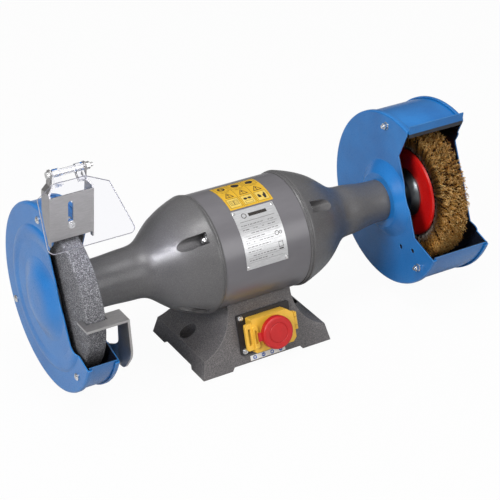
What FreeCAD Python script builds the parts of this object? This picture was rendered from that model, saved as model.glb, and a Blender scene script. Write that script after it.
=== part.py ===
import FreeCAD, Part
import math
import os

os.makedirs("parts", exist_ok=True)
V = FreeCAD.Vector

# Bench grinder with a grinding wheel (-X end) and a wire brush (+X end). Millimetres.
# Z = 0 is the bench, the spindle runs along X at y = 0, the user stands on the -Y side.

# ---- driving dimensions -------------------------------------------------------------
AXIS_Z = 141.5          # spindle height above the bench
BARREL_R = 76.0         # motor barrel
BARREL_WALL = 4.0
SEAM_X = 62.0           # barrel / end bell joint
ARM_END = 219.0         # outer end of both arms

BASE_HX = 96.5          # base half length at the bench
BASE_FRONT = -74.8
BASE_BACK = 63.9
BASE_SLOPE = 0.30       # front face leans back by this much per unit height
BACK_SLOPE = 0.20
FOOT_Z = 23.3
NECK_HX = 47.0
NECK_Z = 82.0
BASE_WALL = 6.0
FOOT_GAP = 4.6
BENCH_HOLE_X = 78.0
BENCH_HOLE_R = 4.5

GUARD_R = 121.3         # outer radius of the guard rims
BAND_R = 118.9
GUARD_IN_X = 231.0      # motor side face of both inner plates
GUARD_T = 2.0
WHEEL_COVER_X = 273.6   # rim face of the wheel guard cover
BRUSH_COVER_X = 323.0   # rim face of the brush guard cover
COVER_T = 1.6
MOUTH_LOW = -19.5       # mouth of the guards, degrees above the horizontal front
MOUTH_HIGH = 70.0
GUARD_BOLT_R = 106.0
GUARD_BOLT_ANGLES = (93.0, 208.0, -40.0)
REST_HOLES = ((-65.8, -50.5), (-39.5, -56.5))   # y, z about the spindle axis

WHEEL_X = -253.0
WHEEL_W = 25.0
WHEEL_R = 100.0
SPINDLE_R = 8.0
BRUSH_X = 279.0
BRUSH_R = 97.0
BRUSH_DISC_R = 61.6
BRUSH_FLANGE_R = 33.3

BRACKET_X = -252.5
BRACKET_W = 57.0
BRACKET_LEAN = 0.1058   # forward lean of the lip and the spark bracket
LIP_Y = -41.0           # front of the lip at LIP_Z
LIP_Z = 248.0
LIP_TOP = 264.0
SPARK_SCREW_Z = 260.5
HINGE_Y = -40.0
HINGE_Z = 328.0
SHIELD_TILT = 225.0     # direction of the shield about +X, from +Y
SHIELD_DROP = 2.8       # the shield lies this far under the rod

SWITCH_X = 1.0
SWITCH_S = 44.5         # height of the switch centre along the sloping face
FLAP_HINGE_X = SWITCH_X + 38.4
FLAP_HINGE_H = 14.6     # height of the flap's hinge over the sloping face


# ---- helpers ------------------------------------------------------------------------
def box(x0, x1, y0, y1, z0, z1):
    return Part.makeBox(x1 - x0, y1 - y0, z1 - z0, V(x0, y0, z0))


def cyl_x(x0, x1, r, y=0.0, z=AXIS_Z):
    return Part.makeCylinder(r, x1 - x0, V(x0, y, z), V(1, 0, 0))


def cyl_z(z0, z1, r, x=0.0, y=0.0):
    return Part.makeCylinder(r, z1 - z0, V(x, y, z0), V(0, 0, 1))


def face_of(points):
    return Part.Face(Part.makePolygon([V(*p) for p in points] + [V(*points[0])]))


def prism_x(yz, x0, x1):
    """Side outline (y, z) swept from x0 to x1."""
    return face_of([(x0, y, z) for y, z in yz]).extrude(V(x1 - x0, 0, 0))


def prism_y(xz, y0, y1):
    """Front outline (x, z) swept from y0 to y1."""
    return face_of([(x, y0, z) for x, z in xz]).extrude(V(0, y1 - y0, 0))


def prism_z(xy, z0, z1):
    return face_of([(x, y, z0) for x, y in xy]).extrude(V(0, 0, z1 - z0))


def rounded_prism(corners, place, sweep):
    """Prism from (a, b, radius) corners, with an arc at every corner that has a radius."""
    turns = []
    for i, (a, b, r) in enumerate(corners):
        here = V(a, b, 0)
        to_last = (V(*corners[i - 1][:2], 0) - here).normalize()
        to_next = (V(*corners[(i + 1) % len(corners)][:2], 0) - here).normalize()
        half = to_last.getAngle(to_next) / 2.0
        inward = (to_last + to_next).normalize()
        reach = r / math.tan(half)
        middle = here + inward * (r / math.sin(half) - r)
        turns.append((here + to_last * reach, middle, here + to_next * reach))
    edges = []
    for i, (first, middle, last) in enumerate(turns):
        if corners[i][2]:
            edges.append(Part.Arc(place(first), place(middle), place(last)).toShape())
        edges.append(Part.makeLine(place(last), place(turns[(i + 1) % len(turns)][0])))
    return Part.Face(Part.Wire(edges)).extrude(sweep)


def rounded_x(corners, x0, x1):
    return rounded_prism(corners, lambda p: V(x0, p.x, p.y), V(x1 - x0, 0, 0))


def rounded_z(corners, z0, z1):
    return rounded_prism(corners, lambda p: V(p.x, p.y, z0), V(0, 0, z1 - z0))


def turned(xr):
    """Solid of revolution about the spindle axis from (x, r) points."""
    wire = [(x, 0.0, AXIS_Z + r) for x, r in xr]
    return face_of(wire).revolve(V(0, 0, AXIS_Z), V(1, 0, 0), 360)


def ring_x(x0, x1, r_in, r_out):
    return cyl_x(x0, x1, r_out).cut(cyl_x(x0 - 1, x1 + 1, r_in))


def hex_x(x0, x1, flats, y=0.0, z=AXIS_Z):
    r = flats / math.sqrt(3)
    pts = [(y + r * math.cos(math.radians(a)), z + r * math.sin(math.radians(a))) for a in range(0, 360, 60)]
    return prism_x(pts, x0, x1)


def fused(shapes):
    shapes = list(shapes)
    if len(shapes) == 1:
        return shapes[0]
    return shapes[0].multiFuse(shapes[1:]).removeSplitter()


def polar(radius, degrees):
    """(y, z) at an angle above the horizontal front, about the spindle axis."""
    a = math.radians(degrees)
    return -radius * math.cos(a), AXIS_Z + radius * math.sin(a)


def flipped(shape):
    """Mirror image across the middle of the motor."""
    return shape.mirror(V(0, 0, 0), V(1, 0, 0))


def smooth_profile(points, segments=40):
    """Points along a spline through (x, r) pairs."""
    curve = Part.BSplineCurve()
    curve.interpolate([V(x, r, 0) for x, r in points])
    first, last = curve.FirstParameter, curve.LastParameter
    found = []
    for i in range(segments + 1):
        p = curve.value(first + (last - first) * i / segments)
        found.append((p.x, p.y))
    return found


def save(name, shape):
    shape.exportStep("parts/%s.step" % name)


# ---- base ---------------------------------------------------------------------------
def scoop_points(grow):
    """Arc from the foot up to the neck on the +X side, offset outward by grow."""
    cx, cz, r = 108.2, NECK_Z, 61.2 + grow
    low = math.degrees(math.asin(min(1.0, (cz - FOOT_Z + grow) / r)))
    found = []
    for i in range(13):
        a = math.radians(low * (1 - i / 12.0))
        found.append((cx - r * math.cos(a), cz - r * math.sin(a)))
    return found


def base_outline(grow, z_low, z_top):
    right = [(BASE_HX - grow - 0.236 * z_low, z_low)]
    arc = scoop_points(grow)
    right.append((BASE_HX - grow - 0.236 * arc[0][1], arc[0][1]))
    right += [p for p in arc if p[0] < right[1][0] - 0.5]
    right.append((NECK_HX - grow, z_top))
    return right + [(-x, z) for x, z in reversed(right)]


def side_outline(grow, z_low, z_top):
    return [
        (BASE_FRONT + grow * 1.05 + BASE_SLOPE * z_low, z_low),
        (BASE_FRONT + grow * 1.05 + BASE_SLOPE * z_top, z_top),
        (BASE_BACK - grow * 1.02 - BACK_SLOPE * z_top, z_top),
        (BASE_BACK - grow * 1.02 - BACK_SLOPE * z_low, z_low),
    ]


POSTS = ((-62, -44), (62, -44), (-62, 36), (62, 36))


def base_casting():
    body = prism_y(base_outline(0, 0, 105), -100, 100)
    body = body.common(prism_x(side_outline(0, 0, 105), -120, 120))
    body = body.cut(cyl_x(-130, 130, BARREL_R + 0.1))
    cavity = prism_y(base_outline(BASE_WALL, -1, 58), -100, 100)
    cavity = cavity.common(prism_x(side_outline(BASE_WALL, -1, 58), -120, 120))
    keep = [cyl_z(0, 60, 13, s * BENCH_HOLE_X, 0) for s in (-1, 1)]
    keep += [cyl_z(FOOT_GAP + 2.0, 60, 5, x, y) for x, y in POSTS]
    for k in keep:
        cavity = cavity.cut(k)
    body = body.cut(cavity)
    gap_x = prism_y([(-54, -1), (-50, FOOT_GAP), (50, FOOT_GAP), (54, -1)], -100, 100)
    gap_y = prism_x([(-43, -1), (-39, FOOT_GAP), (28, FOOT_GAP), (32, -1)], -120, -91)
    body = body.cut(gap_x).cut(gap_y).cut(flipped(gap_y))
    for s in (-1, 1):
        body = body.cut(cyl_z(17, 60, 11, s * BENCH_HOLE_X, 0))
        body = body.cut(cyl_z(-1, 30, BENCH_HOLE_R, s * BENCH_HOLE_X, 0))
        body = body.cut(cyl_z(40, 75, 3.2, s * 28, 0))
    for x, y in POSTS:
        body = body.cut(cyl_z(0, 16, 1.7, x, y))
    body = body.cut(cyl_z(50, 75, 9))
    window = on_face(box(SWITCH_X - 20.5, SWITCH_X + 20.5, SWITCH_S - 17.5, SWITCH_S + 17.5, -20, 3))
    body = body.cut(window)
    for x, s in SWITCH_SCREWS:
        body = body.cut(on_face(Part.makeCylinder(1.7, 12, V(x, s, -10))))
    body = body.cut(Part.makeCylinder(8.1, 30, V(40, 45, 26), V(0, 1, 0)))
    return body


def base_cover():
    z0, z1 = FOOT_GAP + 0.2, FOOT_GAP + 1.8
    x = BASE_HX - BASE_WALL - 3.0
    plate = box(-x, x, BASE_FRONT + BASE_WALL + 3.2, BASE_BACK - BASE_WALL - 2.4, z0, z1)
    for s in (-1, 1):
        plate = plate.cut(cyl_z(0, 20, 13.5, s * BENCH_HOLE_X, 0))
        plate = plate.cut(box(min(s * 78, s * 100), max(s * 78, s * 100), -13.5, 13.5, 0, 20))
    for px, py in POSTS:
        plate = plate.cut(cyl_z(0, 20, 2.0, px, py))
    return plate


def base_screws():
    parts = []
    for x, y in POSTS:
        parts.append(cyl_z(FOOT_GAP - 2.2, FOOT_GAP + 0.2, 3.6, x, y).fuse(cyl_z(FOOT_GAP, 15, 1.6, x, y)))
    for s in (-1, 1):
        parts.append(cyl_z(53, 58, 5.0, s * 28, 0).fuse(cyl_z(57, 69.3, 3.0, s * 28, 0)))
    return Part.makeCompound(parts)


GLAND_Y = BASE_BACK - BACK_SLOPE * 26 + 2.6


def cable_gland():
    y = GLAND_Y
    body = Part.makeCylinder(8.0, 26, V(40, y - 14, 26), V(0, 1, 0))
    body = body.fuse(Part.makeCylinder(11.5, 6, V(40, y, 26), V(0, 1, 0)))
    body = body.fuse(Part.makeCone(9.5, 6.0, 6, V(40, y + 13, 26), V(0, 1, 0)))
    body = body.fuse(Part.makeCylinder(9.5, 7.2, V(40, y + 6, 26), V(0, 1, 0)))
    return body.cut(Part.makeCylinder(4.0, 60, V(40, y - 20, 26), V(0, 1, 0)))


def capacitor():
    can = cyl_x(-29, 29, 16.5, 24, 27)
    cap = cyl_x(29, 33, 15.0, 24, 27)
    tabs = [box(33, 40, y, y + 1, 22, 32) for y in (18, 29)]
    return fused([can, cap] + tabs)


def terminal_block():
    block = box(-24, 24, -20, -4, 8, 20)
    for i in range(5):
        block = block.cut(cyl_z(13, 21, 2.6, -18 + 9 * i, -12))
    return block


# ---- motor --------------------------------------------------------------------------
TIE_ANGLES = (45, 135, 225, 315)
TIE_R = 67.0


def at_ties(make):
    return [make(*polar(TIE_R, a)) for a in TIE_ANGLES]


def motor_barrel():
    tube = ring_x(-SEAM_X, SEAM_X, BARREL_R - BARREL_WALL, BARREL_R)
    tube = tube.cut(cyl_z(50, 80, 8))
    for s in (-1, 1):
        tube = tube.cut(cyl_z(50, 80, 3.1, s * 28, 0))
    return tube


# (x, r) on an end bell: shoulder, three on the dome, its foot and the neck; then the arm to its end.
BELL_CURVE = [(71, 77.5), (90, 71), (110, 61), (130, 45.5), (145, 36), (165, 33.5)]
WHEEL_ARM = [(200, 31.5), (216, 31.5)]
BRUSH_ARM = [(190, 30), (216, 28.5)]


def end_bell(arm):
    """An end bell on the +X side: dome, arm and bearing housing in one casting."""
    x0 = SEAM_X + 0.2
    outer = [(x0, 0), (x0, 76.8), (x0 + 2.2, 77.4), (x0 + 2.6, 76.9), (x0 + 4.4, 76.9), (x0 + 4.8, 78.0),
             (x0 + 7.0, 78.0)]
    outer += smooth_profile(BELL_CURVE + arm) + [(ARM_END, arm[-1][1]), (ARM_END, 0)]
    body = turned(outer)
    inner = [(x0 - 1, 0), (x0 - 1, 71.5), (72.0, 71.5)]
    inner += smooth_profile([(80, 69.5), (104, 58.5), (124, 43), (142, 20)])
    inner += [(201.0, 20.0), (201.0, 23.5), (215.5, 23.5), (215.5, 16.5)]
    inner += [(ARM_END + 1, 16.5), (ARM_END + 1, 0)]
    cavity = turned(inner)
    for boss in at_ties(lambda y, z: cyl_x(x0, 122, 11.5, y, z)):
        cavity = cavity.cut(boss)
    body = body.cut(cavity)
    for pocket in at_ties(lambda y, z: cyl_x(76, 140, 8.0, y, z)):
        body = body.cut(pocket)
    for angle in TIE_ANGLES:
        channel = box(76, 140, -7.6, 7.6, AXIS_Z + TIE_R, AXIS_Z + 95)
        body = body.cut(spun_about_axis(channel, 90 - angle))
    for hole in at_ties(lambda y, z: cyl_x(x0 - 1, 78, 2.7, y, z)):
        body = body.cut(hole)
    for y, z in flange_screw_spots():
        body = body.cut(cyl_x(ARM_END - 12, ARM_END + 1, 1.55, y, z))
    return body


def flange_screw_spots():
    return [polar(25.9, a) for a in (90, 210, 330)]


def tie_rods():
    rods = []
    for y, z in [polar(TIE_R, a) for a in TIE_ANGLES]:
        rod = cyl_x(-81.5, 79.8, 2.5, y, z)
        rod = rod.fuse(cyl_x(-77.0, -76.0, 6.0, y, z)).fuse(hex_x(-80.5, -77.0, 8.0, y, z))
        rod = rod.fuse(cyl_x(76.0, 77.0, 6.0, y, z)).fuse(hex_x(77.0, 79.0, 8.0, y, z))
        rods.append(rod)
    return Part.makeCompound(rods)


def spun_about_axis(shape, degrees):
    copy = shape.copy()
    copy.rotate(V(0, 0, AXIS_Z), V(1, 0, 0), degrees)
    return copy


SLOTS = 24


def stator_core():
    core = ring_x(-35, 35, 38.0, 71.7)
    slot = box(-36, 36, -2.2, 2.2, AXIS_Z + 41, AXIS_Z + 58)
    slot = slot.fuse(box(-36, 36, -1.0, 1.0, AXIS_Z + 37, AXIS_Z + 42))
    core = core.cut(fused(spun_about_axis(slot, 360.0 * i / SLOTS) for i in range(SLOTS)))
    groove = fused(at_ties(lambda y, z: cyl_x(-36, 36, 4.0, y, z)))
    return core.cut(groove)


def stator_windings():
    bar = box(-37, 37, -1.9, 1.9, AXIS_Z + 44, AXIS_Z + 56)
    bars = [spun_about_axis(bar, 360.0 * i / SLOTS) for i in range(SLOTS)]
    profile = [(35.4, 43), (35.4, 57), (40, 60), (50, 60), (55, 56), (55, 46), (51, 42), (39, 41)]
    head = turned(profile)
    return fused([head, flipped(head)] + bars)


# ---- spindle and rotor --------------------------------------------------------------
def spindle_shaft():
    profile = [(-283.5, 0), (-283.5, 7.0), (-282.5, SPINDLE_R), (-232.0, SPINDLE_R), (-232.0, 10.0),
               (-199.5, 10.0), (-199.5, 12.0), (-60, 12.0), (-60, 14.0), (60, 14.0), (60, 12.0),
               (199.5, 12.0), (199.5, 10.0), (232.0, 10.0), (232.0, SPINDLE_R), (307.0, SPINDLE_R),
               (308.0, 7.0), (308.0, 0)]
    return turned(profile)


def rotor_core():
    return ring_x(-35, 35, 14.05, 37.5)


def rotor_cage():
    side = ring_x(35.1, 41, 20, 36.5)
    fin = box(40.5, 50, -1.2, 1.2, AXIS_Z + 24, AXIS_Z + 35)
    side = fused([side] + [spun_about_axis(fin, 36 * i) for i in range(10)])
    return Part.makeCompound([side, flipped(side)])


def bearing_inner_rings():
    return Part.makeCompound([ring_x(s - 7, s + 7, 10.02, 14.0) for s in (-208, 208)])


def bearing_outer_rings():
    return Part.makeCompound([ring_x(s - 7, s + 7, 20.0, 23.45) for s in (-208, 208)])


def bearing_balls():
    balls = []
    for x in (-208, 208):
        for i in range(8):
            y, z = polar(17.0, 45 * i)
            balls.append(Part.makeSphere(2.9, V(x, y, z)))
    return Part.makeCompound(balls)


WHEEL_L = WHEEL_X - WHEEL_W / 2.0
WHEEL_IN = WHEEL_X + WHEEL_W / 2.0
BLOTTER = 0.5


def grinding_wheel():
    edge = 1.2
    profile = [(WHEEL_L, SPINDLE_R + 0.1), (WHEEL_L, WHEEL_R - edge), (WHEEL_L + edge, WHEEL_R),
               (WHEEL_IN - edge, WHEEL_R), (WHEEL_IN, WHEEL_R - edge), (WHEEL_IN, SPINDLE_R + 0.1)]
    return turned(profile)


def wheel_blotters():
    outer = ring_x(WHEEL_L - BLOTTER, WHEEL_L, SPINDLE_R + 0.3, 36)
    inner = ring_x(WHEEL_IN, WHEEL_IN + BLOTTER, SPINDLE_R + 0.3, 36)
    return Part.makeCompound([outer, inner])


def wheel_flange_inner():
    x = WHEEL_IN + BLOTTER
    profile = [(x, 22), (x, 32), (x + 3, 32), (x + 7, 24), (x + 7, 13), (-215.1, 13), (-215.1, 10.05),
               (-232.1, 10.05), (-232.1, 8.05), (x + 1.5, 8.05), (x + 1.5, 22)]
    return turned(profile)


def wheel_flange_outer():
    x = WHEEL_L - BLOTTER
    profile = [(x, 22), (x, 32), (x - 2.5, 32), (x - 6, 25), (x - 6, 8.05), (x - 1.5, 8.05), (x - 1.5, 22)]
    return turned(profile)


def spindle_nut(x0, x1):
    nut = hex_x(x0, x1, 24)
    cone = turned([(x0, 0), (x0, 12.3), (x0 + 1.6, 14.4), (x1 - 1.6, 14.4), (x1, 12.3), (x1, 0)])
    return nut.common(cone).cut(cyl_x(x0 - 1, x1 + 1, SPINDLE_R + 0.02))


def brush_flange_inner():
    profile = [(215.1, 10.05), (215.1, 13), (255, 13), (255, 26), (262, BRUSH_FLANGE_R - 1),
               (263, BRUSH_FLANGE_R), (265.3, BRUSH_FLANGE_R), (265.3, 8.05), (232.1, 8.05), (232.1, 10.05)]
    return turned(profile)


def brush_flange_outer():
    profile = [(292.7, 8.05), (292.7, BRUSH_FLANGE_R), (294.5, BRUSH_FLANGE_R), (296.2, 30), (296.2, 8.05)]
    return turned(profile)


def brush_disc():
    """Pressed disc on the motor side of the brush; its rim turns in against the wires."""
    profile = [(265.3, 8.1), (265.3, 40), (264.4, 56), (265.2, 60), (267.4, BRUSH_DISC_R), (268.2, 60.4),
               (266.8, 58), (266.2, 55), (267.2, 40), (267.2, 8.1)]
    return turned(profile)


def brush_hub():
    return ring_x(267.2, 290.8, 8.1, 40.0)


def brush_wires():
    """Outer envelope of the crimped wire pack."""
    half = [(11.6, 40.1), (12.5, 55.0), (11.9, 58.0), (10.5, 60.4), (10.5, 62.2), (13.0, 64.5), (17.5, 76.0),
            (21.0, 90.0), (21.0, 94.0), (18.0, 96.6), (9.0, BRUSH_R)]
    points = [(BRUSH_X - x, r) for x, r in half] + [(BRUSH_X + x, r) for x, r in reversed(half)]
    return turned(points)


# ---- guards -------------------------------------------------------------------------
def mouth_cut(x0, x1):
    """Everything in front of the cut edge of the side plates."""
    pts = [(-30, 178), (-40, 108.5), (-24, 73), (-68.5, -30), (-107, -42), (-150, -55.3), (-150, 178)]
    return prism_x([(y, AXIS_Z + z) for y, z in pts], x0, x1)


def guard_plate():
    """Inner plate of the +X guard; the -X one is its mirror image."""
    x, t = GUARD_IN_X, GUARD_T
    boss = ARM_END
    profile = [(boss, 17.0), (boss, 38.0), (boss + 2, 41.0), (x - 2, 51.0), (x, 54.0), (x, GUARD_R - 2.2),
               (x + 0.6, GUARD_R - 0.6), (x + 2.2, GUARD_R), (x + 6, GUARD_R), (x + 6, GUARD_R - 2.0),
               (x + 2.6, GUARD_R - 2.0), (x + t, GUARD_R - 2.6), (x + t, 54.8), (x, 51.8), (boss + 4, 41.2),
               (boss + t, 37.5), (boss + t, 17.0)]
    plate = turned(profile).cut(mouth_cut(x - 5, x + 10))
    for a in GUARD_BOLT_ANGLES:
        y, z = polar(GUARD_BOLT_R, a)
        plate = plate.cut(cyl_x(x - 1, x + 4, 2.7, y, z))
    for y, z in REST_HOLES:
        plate = plate.cut(cyl_x(x - 1, x + 4, 3.2, y, AXIS_Z + z))
    for y, z in flange_screw_spots():
        plate = plate.cut(cyl_x(boss - 1, boss + 4, 1.8, y, z))
    return plate


def cover_relief(x):
    """Pressed face of a guard cover from its rim to its centre: a bead, a flat ring and a domed boss."""
    bead = smooth_profile([(x, 94), (x + 2.8, 89), (x + 3.2, 82), (x + 2.2, 74)], 12)
    boss = smooth_profile([(x + 2.4, 54), (x + 5.4, 44.5), (x + 11, 31), (x + 12.9, 20), (x + 13.2, 8)], 12)
    return bead + boss + [(x + 13.2, 0)]


def guard_cover(rim):
    """Pressed outer cover of the +X guard with its rim face at x = rim."""
    x, t = rim, COVER_T
    out = [(x - 6, GUARD_R), (x - 2.6, GUARD_R), (x - 0.8, GUARD_R - 0.8), (x, GUARD_R - 2.6)]
    out += cover_relief(x)
    back = cover_relief(x - t)[::-1]
    back += [(x - t, GUARD_R - 3.4), (x - 2.4, GUARD_R - 2.0), (x - 6, GUARD_R - 2.0)]
    cover = turned(out + back).cut(mouth_cut(x - 8, x + 20))
    for a in GUARD_BOLT_ANGLES:
        y, z = polar(GUARD_BOLT_R, a)
        cover = cover.cut(cyl_x(x - 4, x + 2, 2.7, y, z))
    return cover


def guard_band(rim, bracket_hole=False):
    """Wrapper between the side plates, with a turned-up lip over the mouth."""
    x0, x1 = GUARD_IN_X + 2.7, rim - 2.5
    band = ring_x(x0, x1, BAND_R - 1.6, BAND_R)
    y0, z0 = polar(400, MOUTH_LOW)
    y1, z1 = polar(400, MOUTH_HIGH)
    band = band.cut(prism_x([(0, AXIS_Z), (y0, z0), (-500, z0), (-500, z1), (y1, z1)], x0 - 1, x1 + 1))
    lean = BRACKET_LEAN
    low = LIP_Z - 1.5
    lip = [(LIP_Y - lean * (low - LIP_Z), low), (LIP_Y - lean * (LIP_TOP - LIP_Z), LIP_TOP),
           (LIP_Y + 1.6 - lean * (LIP_TOP - LIP_Z), LIP_TOP), (LIP_Y + 1.8 - lean * 5, LIP_Z + 5),
           (LIP_Y + 4.5, LIP_Z + 4.2), (LIP_Y + 5.0, LIP_Z + 1.6), (LIP_Y + 1.6, LIP_Z)]
    band = band.fuse(prism_x(lip, x0, x1)).removeSplitter()
    if bracket_hole:
        band = band.cut(Part.makeCylinder(3.2, 30, V(-BRACKET_X + 1.5, -55, SPARK_SCREW_Z), V(0, 1, 0)))
    return band


def guard_bolts(rim):
    """Long bolts across the guard: round heads on the cover, nuts on the inner plate."""
    bolts = []
    for a in GUARD_BOLT_ANGLES:
        y, z = polar(GUARD_BOLT_R, a)
        bolt = cyl_x(GUARD_IN_X - 8, rim + 1, 2.5, y, z)
        head = cyl_x(rim, rim + 3, 4.8, y, z)
        head = head.common(Part.makeSphere(6.6, V(rim - 3.0, y, z)))
        nut = hex_x(GUARD_IN_X - 5, GUARD_IN_X - 1, 8.0, y, z)
        nut = nut.fuse(cyl_x(GUARD_IN_X - 1, GUARD_IN_X, 5.2, y, z))
        bolts.append(fused([bolt, head, nut]))
    return Part.makeCompound(bolts)


def arm_flange_screws():
    screws = []
    for y, z in flange_screw_spots():
        screw = cyl_x(ARM_END - 10, ARM_END + GUARD_T, 1.5, y, z)
        screw = screw.fuse(cyl_x(ARM_END + GUARD_T, ARM_END + 4.6, 3.0, y, z))
        screws += [screw, flipped(screw)]
    return Part.makeCompound(screws)


# ---- spark bracket and eye shield -----------------------------------------------------
def front_y(z):
    """Front face of the spark bracket at height z."""
    return LIP_Y - 2.2 - BRACKET_LEAN * (z - LIP_Z)


def spark_bracket():
    x0, x1 = BRACKET_X - BRACKET_W / 2.0, BRACKET_X + BRACKET_W / 2.0
    joggle = 5.5
    head = 5.6
    top = HINGE_Z + head
    side = [(front_y(234.5), 234.5, 0), (front_y(302.0), 302.0, 0), (-42.6, 316.0, 0),
            (HINGE_Y - head, top, head - 0.6), (HINGE_Y + head, top, head - 0.6), (-27.5, 301.0, 6),
            (-24.0, 276.0, 6), (-37.2, 234.5, 0)]
    side = rounded_x(side, x0 - 5, x1 + 5)
    path = [(x0, 230), (x0, 306), (x0 + joggle, 313), (x0 + joggle, 339), (x0 + joggle + 2, 339),
            (x0 + joggle + 2, 312.2), (x0 + 2, 305.2), (x0 + 2, 230)]
    walls = prism_y(path, -60, 0)
    right = prism_y([(2 * BRACKET_X - x, z) for x, z in path], -60, 0)
    walls = walls.fuse(right).common(side)
    front = prism_x([(front_y(241.0), 241.0), (front_y(301.5), 301.5), (front_y(301.5) + 2, 301.5),
                     (front_y(241.0) + 2, 241.0)], x0, x1)
    body = walls.fuse(front).removeSplitter()
    slot = box(BRACKET_X - 4.8, BRACKET_X + 1.8, -60, -30, 257.5, 288.5)
    slot = slot.fuse(Part.makeCylinder(3.3, 30, V(BRACKET_X - 1.5, -60, 257.5), V(0, 1, 0)))
    slot = slot.fuse(Part.makeCylinder(3.3, 30, V(BRACKET_X - 1.5, -60, 288.5), V(0, 1, 0)))
    body = body.cut(slot)
    return body.cut(cyl_x(x0, x1, 2.55, HINGE_Y, HINGE_Z))


def spark_screw():
    """Pan head screw, washer and nut that clamp the bracket to the guard lip."""
    z = SPARK_SCREW_Z
    lean = math.degrees(math.atan(BRACKET_LEAN))
    parts = [Part.makeCylinder(2.9, 16, V(0, 8, 0), V(0, -1, 0)),
             Part.makeCylinder(4.8, 1.2, V(0, -2.45, 0), V(0, -1, 0)),
             Part.makeCylinder(4.2, 3.0, V(0, -3.65, 0), V(0, -1, 0)),
             Part.makeCylinder(5.2, 4.0, V(0, 5.8, 0), V(0, -1, 0))]
    screw = fused(parts)
    screw = screw.common(Part.makeBox(20, 14.4, 20, V(-10, -6.4, -10)))
    screw = screw.cut(Part.makeBox(5.6, 1.6, 1.0, V(-2.8, -6.6, -0.5)))
    screw = screw.cut(Part.makeBox(1.0, 1.6, 5.6, V(-0.5, -6.6, -2.8)))
    screw.rotate(V(0, 0, 0), V(1, 0, 0), lean)
    screw.translate(V(BRACKET_X - 1.5, LIP_Y - BRACKET_LEAN * (z - LIP_Z), z))
    return screw


def hinge_rod():
    x0, x1 = BRACKET_X - 23.0, BRACKET_X + 23.0
    rod = cyl_x(x0 - 1, x1 + 9.5, 2.5, HINGE_Y, HINGE_Z)
    head = cyl_x(x0 - 3.4, x0, 4.4, HINGE_Y, HINGE_Z)
    nut = hex_x(x1 + 1.0, x1 + 5.2, 8.0, HINGE_Y, HINGE_Z).fuse(cyl_x(x1, x1 + 1.0, 5.0, HINGE_Y, HINGE_Z))
    return fused([rod, head, nut])


def on_hinge(shape):
    """From shield coordinates (x, distance from the hinge, thickness) to the frame."""
    shape = shape.copy()
    shape.rotate(V(0, 0, 0), V(1, 0, 0), SHIELD_TILT)
    shape.translate(V(BRACKET_X, HINGE_Y, HINGE_Z))
    return shape


def eye_shield():
    right = [(20.5, 10.8, 0), (46.0, 23.8, 0), (56.2, 91.1, 7.5)]
    left = [(-x, s, r) for x, s, r in reversed(right)]
    return on_hinge(rounded_z(right + left, SHIELD_DROP - 1.5, SHIELD_DROP + 1.5))


def shield_clips():
    clips = []
    for x in (-14.5, 14.5):
        knuckle = Part.makeCylinder(5.6, 9, V(x - 4.5, 0, 0), V(1, 0, 0))
        jaw = box(x - 4.5, x + 4.5, 0, 15.5, SHIELD_DROP - 3.9, SHIELD_DROP + 3.4)
        jaw = jaw.cut(box(x - 5, x + 5, 10.8, 20, SHIELD_DROP - 1.5, SHIELD_DROP + 1.5))
        clip = knuckle.fuse(jaw).cut(Part.makeCylinder(2.8, 20, V(x - 10, 0, 0), V(1, 0, 0)))
        clips.append(on_hinge(clip))
    return Part.makeCompound(clips)


def hinge_sleeve():
    tube = Part.makeCylinder(4.2, 19.4, V(-9.7, 0, 0), V(1, 0, 0))
    tube = tube.cut(Part.makeCylinder(2.8, 40, V(-20, 0, 0), V(1, 0, 0)))
    return on_hinge(tube)


# ---- tool rest ------------------------------------------------------------------------
REST_TOP = 155.0
REST_LEG_X = -217.5


def tool_rest():
    """Notched rest plate, bent down into a leg whose foot is joggled flat against the guard."""
    t = 3.0
    x0, x1 = -273.2, REST_LEG_X
    plate = box(x0, x1, -115.5, -88.0, REST_TOP - t, REST_TOP)
    plate = plate.cut(box(WHEEL_L - 1.5, WHEEL_IN + 1.2, -101.5, -80, REST_TOP - 9, REST_TOP + 9))
    foot_x = -GUARD_IN_X + 0.2
    path = [(x1, -130), (x1, -86), (foot_x + t, -72), (foot_x + t, 0), (foot_x, 0), (foot_x, -72.8)]
    path += [(x1 - t, -86.8), (x1 - t, -130)]
    strip = prism_z(path, 60, REST_TOP)
    leg = [(-115.5, REST_TOP, 0), (-122.2, 107.0, 26), (-98.0, 74.0, 18), (-72.0, 83.6, 30), (-29.5, 73.8, 6),
           (-26.0, 90.2, 6), (-88.0, 105.0, 12), (-88.0, REST_TOP, 0)]
    body = strip.common(rounded_x(leg, -240, -210)).fuse(plate).removeSplitter()
    (y0, z0), (y1, z1) = REST_HOLES
    length = math.hypot(y1 - y0, z1 - z0)
    dy, dz = (y1 - y0) / length, (z1 - z0) / length
    reach = 8.0
    ends = [(y0 - dy * reach, z0 - dz * reach), (y1 + dy * reach, z1 + dz * reach)]
    slot = [cyl_x(-240, -210, 3.3, y, AXIS_Z + z) for y, z in ends]
    (ya, za), (yb, zb) = ends
    ny, nz = -dz * 3.3, dy * 3.3
    sides = [(ya + ny, za + nz), (yb + ny, zb + nz), (yb - ny, zb - nz), (ya - ny, za - nz)]
    slot.append(prism_x([(y, AXIS_Z + z) for y, z in sides], -240, -210))
    return body.cut(fused(slot))


def tool_rest_bolts():
    bolts = []
    face = -GUARD_IN_X + 3.4
    for y, z in REST_HOLES:
        z += AXIS_Z
        bolt = cyl_x(-GUARD_IN_X - 4.6, face + 6.5, 3.0, y, z)
        head = hex_x(face + 1.2, face + 5.2, 10.0, y, z).fuse(cyl_x(face, face + 1.2, 6.4, y, z))
        back = cyl_x(-GUARD_IN_X - 4.6, -GUARD_IN_X - GUARD_T, 5.4, y, z)
        bolts.append(fused([bolt, head, back]))
    return Part.makeCompound(bolts)


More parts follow.
